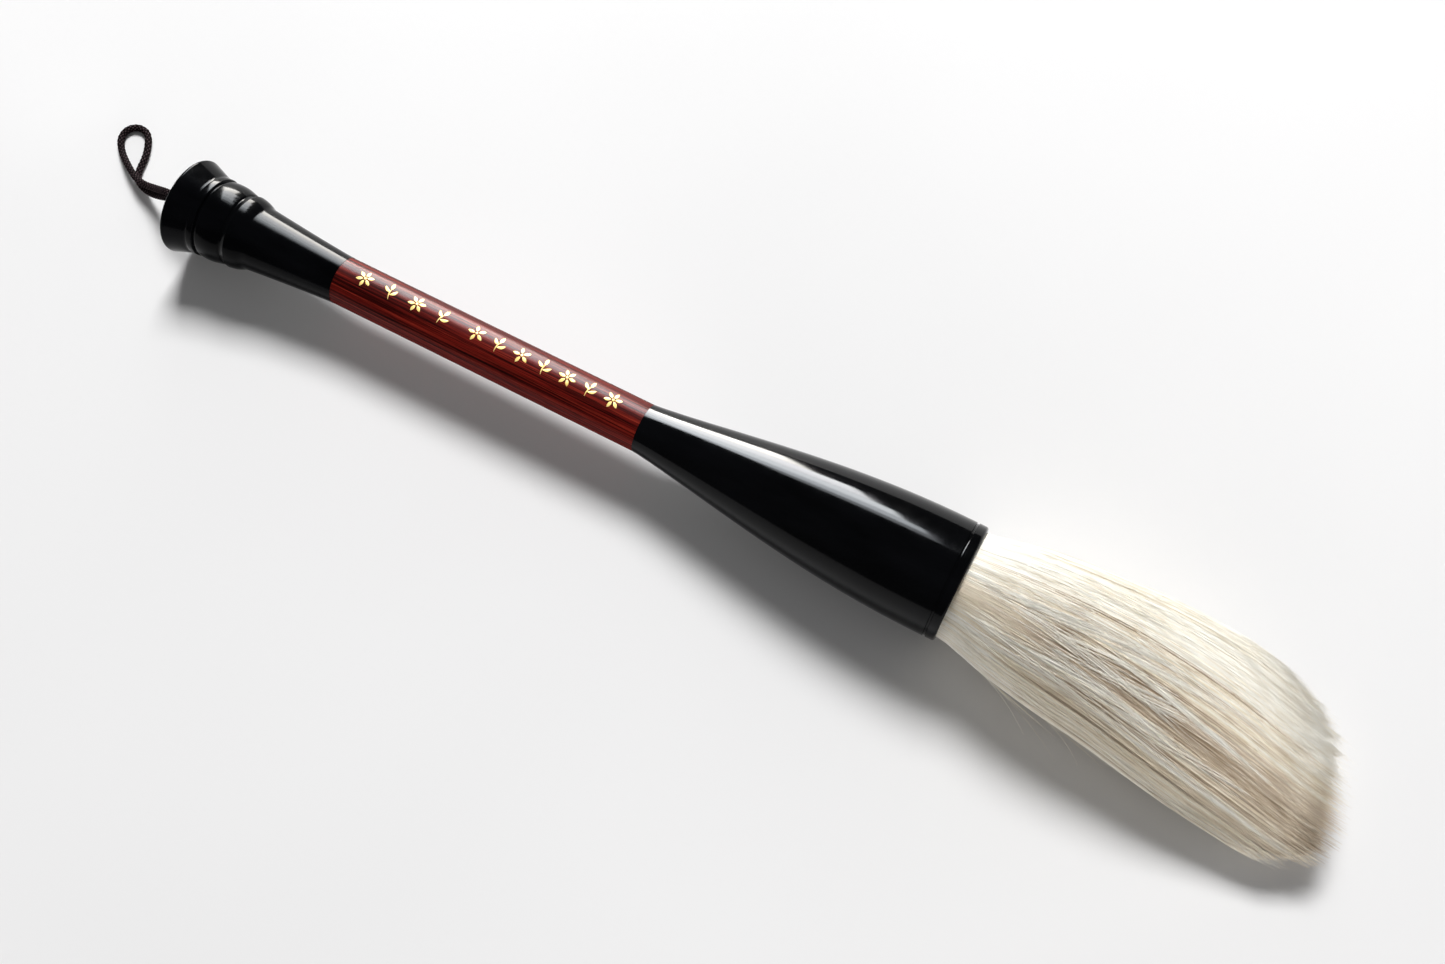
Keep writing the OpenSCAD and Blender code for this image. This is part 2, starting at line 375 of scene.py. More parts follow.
def thread():
    """Waxed silk thread: pale straw, with its fibres running along it."""
    material, shader = new_material("thread", Sheen_Weight=0.3)
    tree = Tree(material)
    fibre = tree.noise(tree.place((6000, 900, 900)), detail=3)
    straw = tree.ramp(fibre, [(0.3, (0.5, 0.44, 0.34)), (0.7, (0.82, 0.77, 0.66))])
    tree.link(straw, shader.inputs["Base Color"])
    tree.link(tree.spread(fibre, 0.7, 0.5), shader.inputs["Roughness"])
    tree.bump(fibre, shader, 0.5, 0.00005)
    return material


HORN = black_horn("black_horn", smoothest=0.07, roughest=0.13, ior=1.22)
DULLER_HORN = black_horn("duller_horn", smoothest=0.1, roughest=0.17, ior=1.14)
WOOD = rosewood()
GILT = gilt()
CORD = cord_fibre()
BULK = hair_bulk_material()
HAIR = hair_material()

# --------------------------------------------------------------- hanging loop
CORD_D = 1.8 * MM
CORD_SIDES = 40
CORD_RING_STEP = 0.12 * MM
CURVE_STEPS = 24
BRAID_PITCH = 5 * MM
BRAID_STRANDS = 3
BRAID_SWELL = 1.05          # size of the crowns, as a share of the cord's radius
BRAID_DEPTH = 0.14          # and how far the gaps lie under them
# The loop's route in metres, from the cap's end centre on the table, as in the CAD
ROUTE = [
    (0.0008, 0, 0.01335), (-0.0025, 0.0001, 0.01325), (-0.0055, 0.0003, 0.0127),
    (-0.0085, 0.0007, 0.0113), (-0.0115, 0.0012, 0.0091), (-0.0146, 0.0017, 0.0069),
    (-0.0179, 0.0021, 0.005), (-0.0213, 0.0027, 0.0038), (-0.0241, 0.0039, 0.0031),
    (-0.0268, 0.0054, 0.0025), (-0.0292, 0.0069, 0.0018), (-0.0312, 0.0083, 0.0012),
    (-0.0327, 0.0096, 0.0009), (-0.0339, 0.011, 0.0009), (-0.0347, 0.0128, 0.0009),
    (-0.0346, 0.0147, 0.0009), (-0.0336, 0.0162, 0.0009), (-0.0319, 0.017, 0.0009),
    (-0.0299, 0.0168, 0.0009), (-0.0282, 0.0155, 0.0009), (-0.0269, 0.0134, 0.0009),
    (-0.0259, 0.0112, 0.0009), (-0.0252, 0.0089, 0.0009), (-0.0247, 0.0066, 0.0009),
    (-0.0238, 0.0045, 0.0009), (-0.022, 0.003, 0.0011), (-0.0195, 0.002, 0.0018),
    (-0.0169, 0.0013, 0.0031), (-0.0143, 0.0009, 0.0046), (-0.0114, 0.0006, 0.0066),
    (-0.0085, 0.0003, 0.0089), (-0.0056, 0.0001, 0.0106), (-0.0025, 0, 0.01135),
    (0.0008, 0, 0.01145),
]


def smooth_path(points, step):
    """Points about step apart on the Catmull-Rom curve through points."""
    route = np.array(points, float)
    route = np.vstack([2 * route[0] - route[1], route, 2 * route[-1] - route[-2]])
    t = np.linspace(0, 1, CURVE_STEPS, endpoint=False)[:, None]
    fine = []
    for before, start, end, after in zip(route[:-3], route[1:-2], route[2:-1], route[3:]):
        first = 2 * start + (end - before) * t
        second = (2 * before - 5 * start + 4 * end - after) * t**2
        third = (3 * start - before - 3 * end + after) * t**3
        fine.append(0.5 * (first + second + third))
    fine = np.vstack([*fine, route[-2]])
    along = np.concatenate([[0], np.cumsum(np.linalg.norm(np.diff(fine, axis=0), axis=1))])
    even = np.linspace(0, along[-1], round(along[-1] / step) + 1)
    return np.stack([np.interp(even, along, fine[:, k]) for k in range(3)], axis=1)


def make_cord():
    """The loop as a round braid: crowns stand up where its left and right turns cross."""
    path = smooth_path(ROUTE, CORD_RING_STEP) + np.array((CAP_END.x, 0, 0))
    heading = np.gradient(path, axis=0)
    heading /= np.linalg.norm(heading, axis=1)[:, None]
    side = np.cross(np.array((0, 0, 1.0)), heading)
    side /= np.linalg.norm(side, axis=1)[:, None]
    over = np.cross(heading, side)
    turn = np.arange(CORD_SIDES)[None, :] / CORD_SIDES * FULL_TURN
    along = np.arange(len(path))[:, None] * CORD_RING_STEP
    twist = 2 * along / BRAID_PITCH * FULL_TURN
    left = np.cos(BRAID_STRANDS * turn + twist)
    right = np.cos(BRAID_STRANDS * turn - twist)
    plait = np.abs(left * right)
    radius = CORD_D / 2 * (BRAID_SWELL - BRAID_DEPTH * (1 - plait))
    ring = np.cos(turn)[..., None] * side[:, None] + np.sin(turn)[..., None] * over[:, None]
    points = path[:, None] + radius[..., None] * ring
    faces = grid_faces(len(path), CORD_SIDES) + end_faces(len(path), CORD_SIDES)
    # the plait goes into the along map, where the cord's material paints glints on the crowns and shade
    # in the gaps
    uv = np.stack(np.broadcast_arrays(plait, along / CORD_D), axis=-1).reshape(-1, 2)
    cord = make_object("cord_loop", points, faces, CORD, uv=uv, sharp_angle=80)
    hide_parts("hanging_loop")
    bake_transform(cord)


make_cord()


# --------------------------------------------------------------- turned parts
# Profiles are (radius, distance) pairs in millimetres.
TURNED_SIDES = 192
FLARE_POWER = 1.17
BORE_R = 3.5                # of the holes that take the shaft's tenons
TENON_R = 3.45
TENON_BEVEL = 0.3
FERRULE_BORE = 18           # depth of the ferrule's hole for the tenon
SOCKET_DEPTH = 32           # of the hair socket, from the lip
HAIR_SEAT = 26              # depth of the hair itself in it
NECK_R = 6.2                # of the cap and the ferrule where they meet the shaft
NECK_AT = 21.2              # where the cap's neck starts
NECK_TOP_R = 8.3
MOUTH_LEN = 6               # straight part of the ferrule at its mouth
DISC_R = 1                  # of the small flat discs that close the solid profiles


def widening(start_r, end_r, share):
    """Radius of a flare at a share of its way from start_r to end_r."""
    return start_r + (end_r - start_r) * share**FLARE_POWER


def arc(radius, distance, size, start, end, steps=8):
    """Profile points on a circular arc round (radius, distance), from start to end degrees."""
    angles = np.radians(np.linspace(start, end, steps + 1))
    return [(radius + size * math.cos(a), distance + size * math.sin(a)) for a in angles]


def straight(start, end, steps=12):
    """Points along a straight run, close enough to keep its own shading."""
    radii = np.linspace(start[0], end[0], steps + 1)
    distances = np.linspace(start[1], end[1], steps + 1)
    return list(zip(radii, distances))


def bead(start, end, bulge, steps=16):
    """A turned bead from start to end: a straight run with a sine bulge."""
    run = straight(start, end, steps)
    swell = bulge * np.sin(math.pi * np.linspace(0, 1, steps + 1))
    return [(radius + more, distance) for (radius, distance), more in zip(run, swell)]


def turned(name, profile, material, node, hollow=False):
    """A profile turned about the brush's axis. A hollow one closes on itself; any other ends in two
    flat discs."""
    turn = np.arange(TURNED_SIDES)[None, :] / TURNED_SIDES * FULL_TURN
    profile = np.array(profile)
    points = on_brush(profile[:, 1:], profile[:, :1], turn)
    if hollow:
        points = np.concatenate([points, points[:1]])
    count = len(points)
    faces = grid_faces(count, TURNED_SIDES)
    if hollow:
        whole = (count - 1) * TURNED_SIDES
        faces = (np.array(faces) % whole).tolist()
        points = points[:-1]
    else:
        faces += end_faces(count, TURNED_SIDES)
    made = make_object(name, points, faces, material, body="handle", sharp_angle=32)
    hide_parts(node)


def cap_profile():
    """A flared rim, a ridge, a fine cut, a large bead, a groove, a small bead and a tapering neck."""
    neck = [
        (widening(NECK_R, NECK_TOP_R, 1 - t), NECK_AT + (CAP_LEN - NECK_AT) * t)
        for t in np.linspace(0, 1, 49)
    ]
    return (
        [(2, 1), (8.5, 1), (9.2, 0.25)]
        + arc(9.9, 0.45, 0.45, 200, 270, 5)
        + arc(RIM_R - 0.7, 0.7, 0.7, 270, 360)
        + straight((RIM_R - 0.05, 0.85), (10.43, 5.95))
        + arc(10.1, 6.6, 0.35, -30, 0, 3)
        + arc(10.1, 7.75, 0.35, 0, 80, 5)
        + [(9.8, 8.3), (9.8, 8.5), (10.1, 8.75)]
        + bead((10.2, 8.9), (9.5, 15.3), 0.42)
        + [(9.3, 15.5), (9.3, 15.9), (9.45, 16.3), (9.65, 16.8)]
        + bead((9.7, 16.9), (8.5, 20.6), 0.2)
        + neck
        + [(BORE_R, CAP_LEN), (BORE_R, 12), (2, 12)]
    )


def ferrule_profile():
    """A long bell, a straight mouth with a fine groove, a rounded lip and the hair socket."""
    bell_len = FERRULE_LEN - MOUTH_LEN
    bell = [
        (widening(NECK_R, MOUTH_R, math.sin(math.pi / 2 * t)), FERRULE_AT + bell_len * t)
        for t in np.linspace(0, 1, 97)
    ]
    groove = [(0, 3), (0.25, 2.88), (0.3, 2.65), (0.25, 2.42), (0, 2.3)]
    lip_r = 0.7
    bore_end = FERRULE_AT + FERRULE_BORE
    socket_end = LIP_AT - SOCKET_DEPTH
    return (
        [(DISC_R, bore_end), (BORE_R, bore_end), (BORE_R, FERRULE_AT)]
        + bell
        + [(MOUTH_R - depth, LIP_AT - before) for depth, before in groove]
        + arc(MOUTH_R - lip_r, LIP_AT - lip_r, lip_r, 0, 90)
        + [(13.2, LIP_AT - 0.1), (13, LIP_AT - 0.5), (11, socket_end), (DISC_R, socket_end)]
    )


def shaft_profile():
    """The bare shaft, with eased edges, between its two bevelled tenons."""
    start = 30.5
    end = 149
    edge = 0.05
    return (
        [(DISC_R, start), (TENON_R - TENON_BEVEL, start), (TENON_R, start + TENON_BEVEL)]
        + [(TENON_R, CAP_LEN), (SHAFT_R - edge, CAP_LEN), (SHAFT_R, CAP_LEN + edge)]
        + [(SHAFT_R, distance) for distance in np.linspace(48, 130, 12)]
        + [(SHAFT_R, FERRULE_AT - edge), (SHAFT_R - edge, FERRULE_AT), (TENON_R, FERRULE_AT)]
        + [(TENON_R, end - TENON_BEVEL), (TENON_R - TENON_BEVEL, end), (DISC_R, end)]
    )


turned("cap_turned", cap_profile(), DULLER_HORN, "cap", hollow=True)
turned("ferrule_turned", ferrule_profile(), HORN, "ferrule")
turned("shaft_turned", shaft_profile(), WOOD, "shaft")


# --------------------------------------------------------------- gilt blossoms and sprigs on the shaft
GILDING_ANGLE = math.radians(8)     # from the shaft's top towards +Y
MOTIF_GROUPS = ((53.3, 7.45, 4), (85.2, 6.3, 7))    # first one's distance, spacing and number
MOTIFS = [first + spacing * i for first, spacing, number in MOTIF_GROUPS for i in range(number)]
LEAF_STEPS = 7
LEAF_RAISE = 0.06           # height of a leaf's middle over the shaft, in millimetres
LEAF_EDGE = 0.02            # height of its edges
LEAF_SINK = 0.1             # depth of its underside
LEAF_TIP = 0.04             # half width of its blunt ends
EYE_R = 0.35
PETAL_START = 0.55


def leaf(distance, across, heading, length, width, bend=0.0):
    """One leaf or petal on the shaft's skin: a lens outline with its middle raised, closed below."""
    t = np.linspace(0, 1, LEAF_STEPS)
    half = width / 2 * np.sin(math.pi * t) ** 0.8 + LEAF_TIP
    forward = t * length
    rows = []
    for offset, lift in ((1, LEAF_EDGE), (0, LEAF_RAISE), (-1, LEAF_EDGE), (0, -LEAF_SINK)):
        sideways = bend * length * np.sin(math.pi * t) + offset * half
        lengthwise = distance + forward * math.cos(heading) - sideways * math.sin(heading)
        around = across + forward * math.sin(heading) + sideways * math.cos(heading)
        rows.append(on_brush(lengthwise, SHAFT_R + lift, GILDING_ANGLE + around / SHAFT_R))
    return np.stack(rows, axis=1).reshape(-1, 3)


def blossom(distance, random):
    """Five or six petals round a small eye."""
    petals = int(random.integers(5, 7))
    first = random.uniform(0, FULL_TURN)
    shapes = [leaf(distance - EYE_R, 0, heading=0, length=2 * EYE_R, width=0.6)]
    for i in range(petals):
        heading = first + i / petals * FULL_TURN
        start = distance + PETAL_START * math.cos(heading)
        across = PETAL_START * math.sin(heading)
        shapes.append(leaf(start, across, heading, length=1.75, width=0.74))
    return shapes


def sprig(distance, random):
    """A short bent stem across the shaft with two side leaves and one at its end."""
    lean = math.pi / 2 + random.uniform(-0.3, 0.3)

    def on_stem(at):
        """The place on the shaft at a distance along the stem, from its middle."""
        return distance + at * math.cos(lean), at * math.sin(lean)

    stem = leaf(*on_stem(-2.3), lean, length=2.8, width=0.2, bend=0.08)
    end_leaf = leaf(*on_stem(0.3), lean, length=2.1, width=0.8)
    shapes = [stem, end_leaf]
    for side in (-1, 1):
        heading = lean + side * random.uniform(0.85, 1.05)
        start = on_stem(-0.7 + 0.35 * side)
        shapes.append(leaf(*start, heading, length=2.2, width=0.72, bend=0.1 * side))
    return shapes


def make_gilding():
    """Blossoms and sprigs in turn along the shaft, as one piece of raised gold leaf."""
    random = np.random.default_rng(7)
    leaves = []
    for i, distance in enumerate(MOTIFS):
        leaves += blossom(distance, random) if i % 2 == 0 else sprig(distance, random)
    one = grid_faces(LEAF_STEPS, 4) + end_faces(LEAF_STEPS, 4)
    starts = [i * LEAF_STEPS * 4 for i in range(len(leaves))]
    faces = [[start + corner for corner in face] for start in starts for face in one]
    made = make_object("gilt_ornament", np.vstack(leaves), faces, GILT, body="handle", sharp_angle=50)


make_gilding()

# --------------------------------------------------------------- hair
# Rows along the tuft in millimetres: past the lip, half width, middle, underside and top
TUFT_ROWS = np.array([
    (-30, 11, 0, 3.3, 25.3),
    (0, 12.95, 0, 1.6, 27.6),
    (6, 14.6, 0, 1, 28.6),
    (14, 16.4, 0, 0.5, 29.4),
    (27, 18.2, 0, 0.1, 29.2),
    (41, 19.9, 0, 0.1, 27),
    (53, 21.4, -0.5, 0.1, 23.8),
    (65, 22.3, -1.2, 0.1, 20),
    (75, 22, -2.2, 0.5, 16.4),
    (83, 22, -3, 1.6, 13),
    (95, 21.5, -4.2, 4, 9),
])
CORNER_REACH = 3            # millimetres either side of a row over which its corner is rounded


def row_at(past_lip):
    """Half width, middle, underside and top at a distance past the lip, with the rows' corners
    rounded by averaging around it."""
    reach = CORNER_REACH * smoothstep(0, 6, past_lip)
    places = [past_lip + offset * reach for offset in np.linspace(-1, 1, 7)]
    distances = TUFT_ROWS[:, 0]
    return [
        np.mean([np.interp(place, distances, TUFT_ROWS[:, k]) for place in places], axis=0)
        for k in (1, 2, 3, 4)
    ]


def tuft_point(past_lip, angle, size):
    """Points of the tuft, in metres: millimetres past the lip, angle from +Y over the top, and share of
    the full size. It is round where it leaves the ferrule and flatter where it lies on the table."""
    past_lip, angle, size = np.broadcast_arrays(past_lip, angle, size)
    half, middle, low, high = row_at(past_lip)
    settled = smoothstep(0, 28, past_lip)
    waist = low + (high - low) * (0.5 - 0.05 * settled)
    power = 1 - 0.25 * settled
    cosine = np.cos(angle)
    sine = np.sin(angle)
    lower = sine < 0
    wide = half * np.where(lower, np.sign(cosine) * np.abs(cosine) ** power, cosine)
    tall = np.where(lower, -(waist - low) * np.abs(sine) ** power, (high - waist) * sine)
    y = middle + wide * size
    z = waist + tall * size
    return np.stack([LIP.x + past_lip * MM, y * MM, z * MM], axis=-1)


def bend_with_tuft(piece):
    """The piece's placement is baked into its mesh; it is not bent."""
    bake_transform(piece)


BULK_SIDES = 480
BULK_ROWS = 120
BULK_END = 87
BULK_SIZE = 0.92
GROOVE_DEPTH = 0.012
GROOVE_WAVES = (37, 61, 97, 139)


def make_bulk():
    """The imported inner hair: a finely grooved body that closes inside the tip."""
    random = np.random.default_rng(3)
    t = np.linspace(0, 1, BULK_ROWS)[:, None]
    past_lip = -HAIR_SEAT + (BULK_END + HAIR_SEAT) * t
    turn = np.arange(BULK_SIDES)[None, :] / BULK_SIDES * FULL_TURN
    grooves = np.zeros_like(turn)
    for waves in GROOVE_WAVES:
        grooves = grooves + np.sin(waves * turn + random.uniform(0, FULL_TURN)) / waves**0.5
    closing = np.sqrt(1 - 0.9999 * smoothstep(0.6, 1, past_lip / BULK_END))
    size = (BULK_SIZE + GROOVE_DEPTH * smoothstep(0, 40, past_lip) * grooves) * closing
    points = tuft_point(past_lip, turn, size)
    faces = grid_faces(BULK_ROWS, BULK_SIDES) + end_faces(BULK_ROWS, BULK_SIDES)
    uv = np.stack(np.broadcast_arrays(turn / FULL_TURN, past_lip / BULK_END), axis=-1).reshape(-1, 2)
    made = make_object("hair_bulk", points, faces, BULK, uv=uv, sharp_angle=80)
    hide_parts("hair_root", "core_hair")
    bend_with_tuft(made)


HAIR_STEPS = 12
HAIR_SIDES = 3
HAIR_T = np.linspace(0, 1, HAIR_STEPS)[None, :]
HAIR_TAPER = 0.7            # share of its width that a hair loses towards its tip
HAIR_LOWEST = 0.02 * MM     # height over the table of the lowest hair
NO_HAIR_WAY = np.array((0.1, 0.3, 0.95))    # a direction in which no hair lies
SHADE_RANGE = (0.01, 0.99)
PALER_ROOT = 0.42           # shade added at the root
PAINTED_TIP_LIGHT = 0.32           # and near the tip at the back, as painted light on the lit tips


def paler_ends(lines):
    """How much whiter each hair gets along its length: at the root, and near the end at the back, where
    the whitening is painted light on the tips.
    """
    painted_light_at_back = smoothstep(-20 * MM, -4 * MM, lines[:, -1:, 1])
    root = 1 - smoothstep(0.1, 0.42, HAIR_T)
    return PAINTED_TIP_LIGHT * painted_light_at_back * smoothstep(0.6, 1, HAIR_T) + PALER_ROOT * root


def hair_mesh(name, lines, thick, shade, nodes=()):
    """Fine tapered hairs, one for each row of lines (hairs, steps, 3), closed at both ends."""
    hairs = len(lines)
    heading = np.gradient(lines, axis=1)
    heading /= np.linalg.norm(heading, axis=2, keepdims=True)
    side = np.cross(heading, NO_HAIR_WAY)
    side /= np.linalg.norm(side, axis=2, keepdims=True)
    over = np.cross(heading, side)
    radius = thick[:, None] / 2 * (1 - HAIR_TAPER * smoothstep(0.7, 1, HAIR_T))
    turn = np.arange(HAIR_SIDES) / HAIR_SIDES * FULL_TURN
    ring = np.cos(turn)[:, None] * side[:, :, None] + np.sin(turn)[:, None] * over[:, :, None]
    points = lines[:, :, None] + radius[..., None, None] * ring
    points[..., 2] = np.maximum(points[..., 2], HAIR_LOWEST)
    quads = grid_faces(HAIR_STEPS, HAIR_SIDES)
    one = [half for a, b, c, d in quads for half in ((a, b, c), (a, c, d))]
    one = np.array(one + end_faces(HAIR_STEPS, HAIR_SIDES))
    starts = np.arange(hairs) * HAIR_STEPS * HAIR_SIDES
    triangles = (one[None] + starts[:, None, None]).reshape(-1, 3)
    along = np.broadcast_to(HAIR_T, (hairs, HAIR_STEPS))
    shade = np.clip(shade[:, None] + paler_ends(lines), *SHADE_RANGE)
    uv = np.stack([shade, along], axis=-1)
    uv = np.repeat(uv.reshape(-1, 2), HAIR_SIDES, axis=0)
    made = make_triangles(name, points.reshape(-1, 3), triangles, HAIR, uv)
    if nodes:
        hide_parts(*nodes)
    bend_with_tuft(made)


TIP_AT = 92.5               # millimetres past the lip, at the tuft's middle
TIP_ROW = 88                # where the tuft's width at its tip is taken
TIP_SLANT = 0.22
TIP_ROUNDING = 20           # how much sooner the tuft's two sides end


def tip_at(angle):
    """How far past the lip the tuft reaches at an angle: slanted, with its sides drawn in."""
    half, middle, _, _ = row_at(np.full_like(angle, TIP_ROW))
    share = np.cos(angle)
    return TIP_AT - TIP_SLANT * (middle + half * share) - TIP_ROUNDING * np.abs(share) ** 5


# Shade by angle round the tuft, from 0 for tan to 1 for white: white at the back, the hair's pale tone
# raised to white as painted light where the window falls, tan just in front of the top, pale again at the
# front edge as painted light that lifts the shaded front, and in between underneath.
SHADE_ANGLES = np.radians((-90, 20, 70, 88, 102, 120, 150, 180, 220, 270))
LEVELS_WITH_PAINTED_LIGHT = (0.4, 0.95, 0.9, 0.44, 0.08, 0.1, 0.52, 0.82, 0.75, 0.45)

# Spreads of the hairs and locks: angles in radians, lengths in millimetres, depths as a share of the
# tuft's size, and shades on the same scale as above
LOCK_DRIFT = 0.018
LOCK_END = 0.8
LOCK_SHADE = 0.23
HAIR_SPREAD = 0.018
HAIR_DEPTH = 0.012
HAIR_END = 5
HAIR_SHADE = 0.14
DEPTH_PAINTED_SHADE = 3             # painted shade: darkening for each share of depth into the tuft
TOP_DEPTH = 0.02            # depth from which the painted shade darkens
HAIR_START = -5             # millimetres past the lip, so just inside the ferrule
SHORT_SHARE = 0.1
SHORT_BY = 25
LONG_SHARE = 0.15
LONG_BY = 5


def shade_at(angle):
    """Shade of the hair at an angle round the tuft, with painted light at the back and the front edge,
    and narrow streaks.
    """
    streaks = 0.11 * np.sin(31 * angle) + 0.08 * np.sin(53 * angle + 1)
    return np.interp(angle, SHADE_ANGLES, LEVELS_WITH_PAINTED_LIGHT) + streaks


def some_of(random, share, most, count):
    """For each of count hairs a length of up to most millimetres, and for all but a share of them 0."""
    return np.where(random.uniform(0, 1, count) < share, random.uniform(0, most, count), 0)


def locks(random, count, per_lock, angles, deepest):
    """Hairs gathered in locks that draw together a little towards their ends; the deeper ones are painted
    darker, as painted shade inside the tuft. Returns each hair's line and shade."""
    lock_angle = random.uniform(*angles, count)
    lock_drift = random.normal(0, LOCK_DRIFT, count)
    lock_depth = random.uniform(0, 1, count) * deepest
    lock_end = random.normal(0, LOCK_END, count)
    lock_shade = random.normal(0, LOCK_SHADE, count)
    which = np.repeat(np.arange(count), per_lock)
    hairs = len(which)
    spread = random.normal(0, HAIR_SPREAD, hairs)[:, None]
    gather = 1 - 0.2 * smoothstep(0.2, 1, HAIR_T)
    angle = lock_angle[which][:, None] + spread * gather + lock_drift[which][:, None] * HAIR_T**1.5
    depth = lock_depth[which] + np.abs(random.normal(0, HAIR_DEPTH, hairs))
    size = 1 - depth[:, None] * (0.6 + 0.4 * HAIR_T)
    shorter = some_of(random, SHORT_SHARE, SHORT_BY, hairs)
    end = tip_at(angle[:, -1]) + lock_end[which] + 1 - np.abs(random.normal(0, HAIR_END, hairs)) - shorter
    end += some_of(random, LONG_SHARE, LONG_BY, hairs)
    past_lip = HAIR_START + (end[:, None] - HAIR_START) * HAIR_T
    level = shade_at(angle.mean(axis=1))
    shade = level + lock_shade[which] + random.normal(0, HAIR_SHADE, hairs)
    # painted shade: hairs deeper in the tuft are made darker
    shade -= DEPTH_PAINTED_SHADE * (depth - TOP_DEPTH)
    return tuft_point(past_lip, angle, size), np.clip(shade, *SHADE_RANGE)


LOCKS = 280
HAIRS_PER_LOCK = 10
COVER_DEPTH = 0.05
CORE_DEPTH = 0.9
STRIP_EDGES = np.radians((-15, 25, 60, 85, 110, 140, 172, 205, 350))


def make_cover():
    """Cover hair in strips round the tuft."""
    random = np.random.default_rng(11)
    for i, angles in enumerate(zip(STRIP_EDGES, STRIP_EDGES[1:])):
        lines, shade = locks(random, LOCKS, HAIRS_PER_LOCK, angles, COVER_DEPTH)
        thick = random.uniform(0.09, 0.16, len(lines)) * MM
        hair_mesh(f"cover_hair_{i}", lines, thick, shade, ("cover_hair",))


def make_core():
    """Core hair: it fills the tip, at every depth."""
    random = np.random.default_rng(12)
    for name in ("core_hair_inner", "core_hair_outer"):
        lines, shade = locks(random, LOCKS, HAIRS_PER_LOCK, (0, FULL_TURN), CORE_DEPTH)
        thick = random.uniform(0.1, 0.16, len(lines)) * MM
        hair_mesh(name, lines, thick, shade)


WISPS = 12
FLYAWAYS = 150
SIDE_HAIRS = 7


def wisp(random):
    """Lines and shades of one white wisp of hairs that crosses the others. Here and below, starts and
    ends are in millimetres past the lip, and angles in radians."""
    hairs = random.integers(20, 50)
    start = random.uniform(2, 35)
    end = start + random.uniform(35, 55)
    angle = random.uniform(1.5, 2.5)
    drift = random.choice((-1, 1)) * random.uniform(0.12, 0.28)
    past_lip = start + (end - start) * HAIR_T + random.normal(0, 5, hairs)[:, None]
    fan = random.normal(0, 0.014, hairs)[:, None] * (1.2 - np.sin(math.pi * HAIR_T))
    course = angle + drift * smoothstep(0, 1, HAIR_T) + fan
    size = 0.98 + 0.02 * np.sin(math.pi * HAIR_T) + random.normal(0, 0.006, hairs)[:, None]
    return tuft_point(past_lip, course, size), random.uniform(0.9, 0.99, hairs)


def flyaways(random):
    """Lines and shades of single hairs that bow out of the tuft a little."""
    start = random.uniform(0, 50, FLYAWAYS)[:, None]
    angle = random.uniform(0.4, 3.3, FLYAWAYS)[:, None]
    course = angle + random.normal(0, 0.12, FLYAWAYS)[:, None] * HAIR_T
    size = 0.99 + random.uniform(0, 0.035, FLYAWAYS)[:, None] * np.sin(math.pi * HAIR_T)
    past_lip = start + random.uniform(20, 40, FLYAWAYS)[:, None] * HAIR_T
    return tuft_point(past_lip, course, size), random.uniform(0.6, 0.99, FLYAWAYS)


def side_hairs(random):
    """Lines and shades of the few hairs that leave the tuft's front edge."""
    start = random.uniform(8, 30, SIDE_HAIRS)[:, None]
    angle = random.uniform(3.2, 3.5, SIDE_HAIRS)[:, None]
    course = angle + random.uniform(-0.1, 0.3, SIDE_HAIRS)[:, None] * HAIR_T
    size = 1 + random.uniform(0.1, 0.35, SIDE_HAIRS)[:, None] * HAIR_T**2
    past_lip = start + random.uniform(12, 26, SIDE_HAIRS)[:, None] * HAIR_T
    return tuft_point(past_lip, course, size), random.uniform(0.7, 0.99, SIDE_HAIRS)


def make_strays():
    """Every hair that leaves its neighbours: the wisps, the flyaways and the side hairs."""
    random = np.random.default_rng(13)
    groups = [wisp(random) for _ in range(WISPS)]
    groups.append(flyaways(random))
    groups.append(side_hairs(random))
    lines = np.concatenate([group[0] for group in groups])
    shade = np.concatenate([group[1] for group in groups])
    thick = random.uniform(0.08, 0.12, len(lines)) * MM
    hair_mesh("cover_hair_strays", lines, thick, shade)


make_bulk()
make_cover()
make_core()
make_strays()

# --------------------------------------------------------------- carried-over CAD nodes
CARRIED_OVER = {"root_resin": resin(), "root_binding": thread(), "loop_knot": CORD}
for node_name, material in CARRIED_OVER.items():
    mesh = frame["nodes"][node_name].data
    mesh.materials.clear()
    mesh.materials.append(material)


# --------------------------------------------------------------- floor and light
FLOOR_REACH = 3             # metres each way


def make_floor():
    """A plain pale floor."""
    material, shader = new_material("floor", Roughness=0.8, Specular_IOR_Level=0.2)
    tree = Tree(material)
    soft = tree.noise(tree.place((6, 6, 6)), detail=2)
    pale = tree.ramp(soft, [(0.3, (0.81, 0.81, 0.815)), (0.7, (0.84, 0.84, 0.845))])
    tree.link(pale, shader.inputs["Base Color"])
    mesh = bpy.data.meshes.new("floor")
    corners = [(x * FLOOR_REACH, y * FLOOR_REACH, 0) for x, y in ((-1, -1), (1, -1), (1, 1), (-1, 1))]
    mesh.from_pydata(corners, [], [(0, 1, 2, 3)])
    mesh.materials.append(material)
    floor = bpy.data.objects.new("floor", mesh)
    bpy.context.scene.collection.objects.link(floor)


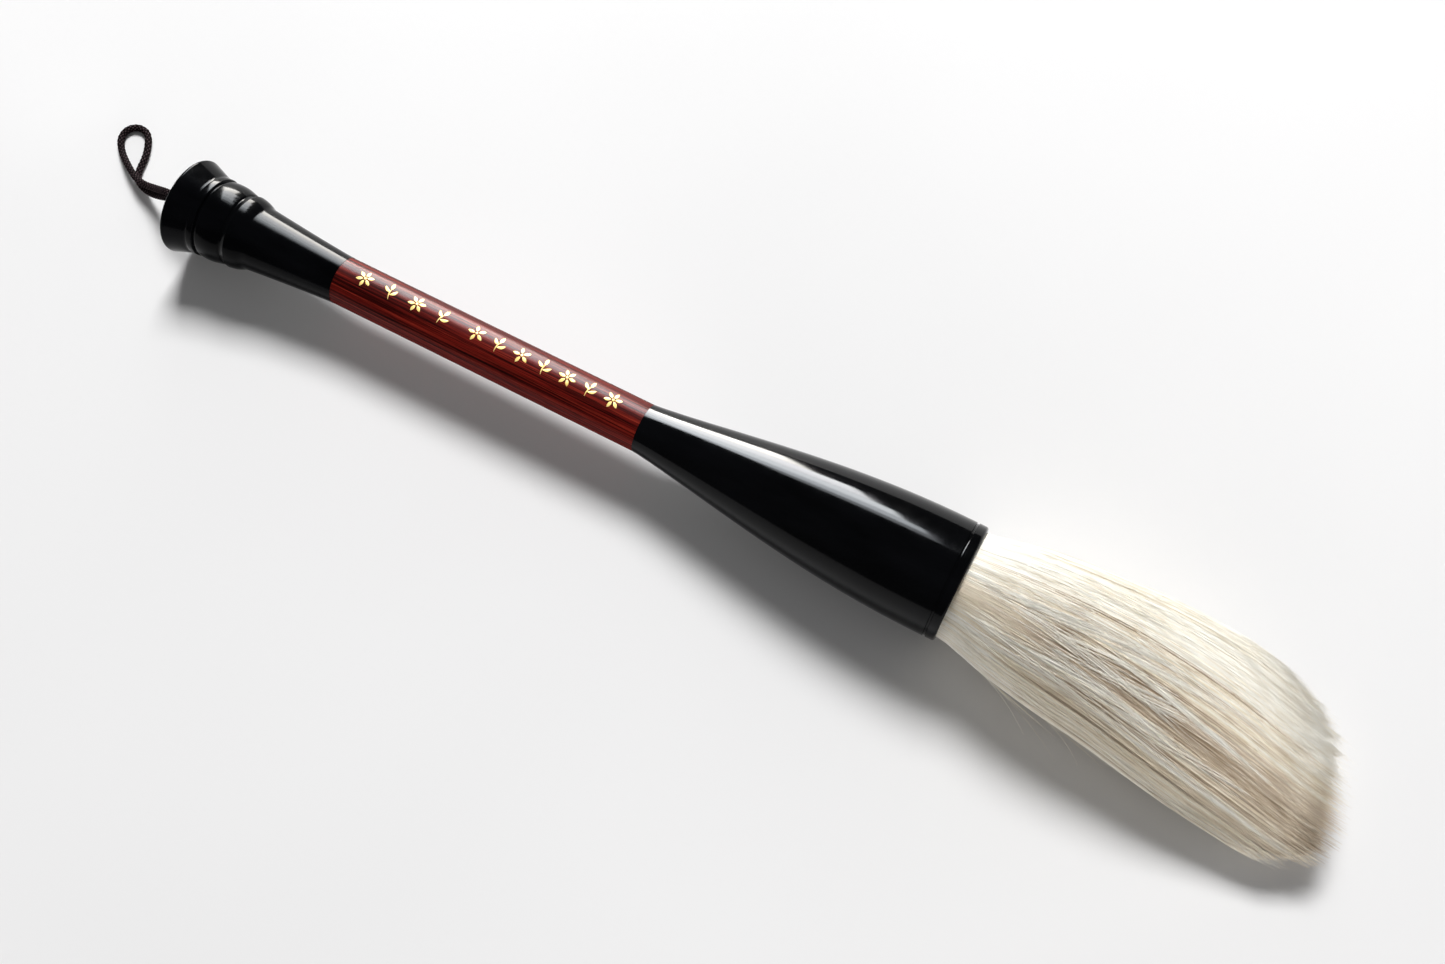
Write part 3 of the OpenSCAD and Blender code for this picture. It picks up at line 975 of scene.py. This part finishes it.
def area_light(name, place, target, size, radiance, colour, mirrored=True, lights=True):
    """A rectangular light of an even radiance, turned to its target. With mirrored off it isn't seen
    in polish, and with lights off it is seen nowhere else."""
    data = bpy.data.lights.new(name, "AREA")
    data.shape = "RECTANGLE"
    data.size, data.size_y = size
    data.energy = radiance * math.pi * size[0] * size[1]
    data.color = colour
    light = bpy.data.objects.new(name, data)
    light.location = place
    light.rotation_euler = (Vector(target) - Vector(place)).to_track_quat("-Z", "Y").to_euler()
    light.visible_glossy = mirrored
    light.visible_diffuse = lights
    bpy.context.scene.collection.objects.link(light)


# The window's panes as the polish shows them, from the lowest up: bottom, right edge, radiance, colour
PANES = (
    (0.1, -0.36, 66, (1, 0.97, 0.92)),
    (0.45, -0.26, 60, (0.97, 0.98, 1)),
    (0.8, -0.2, 55, (0.93, 0.97, 1)),
    (1.15, -0.13, 36, (0.9, 0.95, 1)),
    (1.5, -0.1, 12, (0.9, 0.95, 1)),
)
PANE_LEFT = -0.9
PANE_HEIGHT = 0.34
PANE_Y = 1.1


def make_panes():
    """Panes behind the brush, which make the streak of light on its polished parts."""
    for bottom, right, radiance, colour in PANES:
        x = (PANE_LEFT + right) / 2
        z = bottom + PANE_HEIGHT / 2
        size = (right - PANE_LEFT, PANE_HEIGHT)
        area_light("pane", (x, PANE_Y, z), (x, 0, z), size, radiance, colour, lights=False)


def make_sky():
    """A faint even light from all round."""
    world = bpy.data.worlds.new("world")
    bpy.context.scene.world = world
    world.use_nodes = True
    background = world.node_tree.nodes["Background"]
    background.inputs["Color"].default_value = (0.96, 0.98, 1, 1)
    background.inputs["Strength"].default_value = 0.09


# Lights that aim at the brush and aren't mirrored: place, size, radiance and colour of each. The window
# stands behind and to the left, and the two fills stand low, to light the brush's sides.
SOFT_LIGHTS = {
    "window": ((-0.75, 1.55, 1.95), (1, 0.8), 32.5, (1, 0.995, 0.99)),
    "ceiling": ((0, 0, 1.6), (2.4, 2.4), 0.05, (1, 0.99, 0.98)),
    "room_fill": ((0.75, -0.95, 0.14), (1, 0.22), 10.5, (1, 0.97, 0.95)),
    "right_fill": ((1.2, 0.5, 0.15), (0.8, 0.25), 11, (1, 0.98, 0.95)),
}


def make_light():
    """The sky, the panes and the soft lights."""
    make_sky()
    make_panes()
    for name, (place, size, radiance, colour) in SOFT_LIGHTS.items():
        area_light(name, place, (0, 0, 0), size, radiance, colour, mirrored=False)
    bpy.context.scene.view_settings.view_transform = "Standard"


make_floor()
make_light()
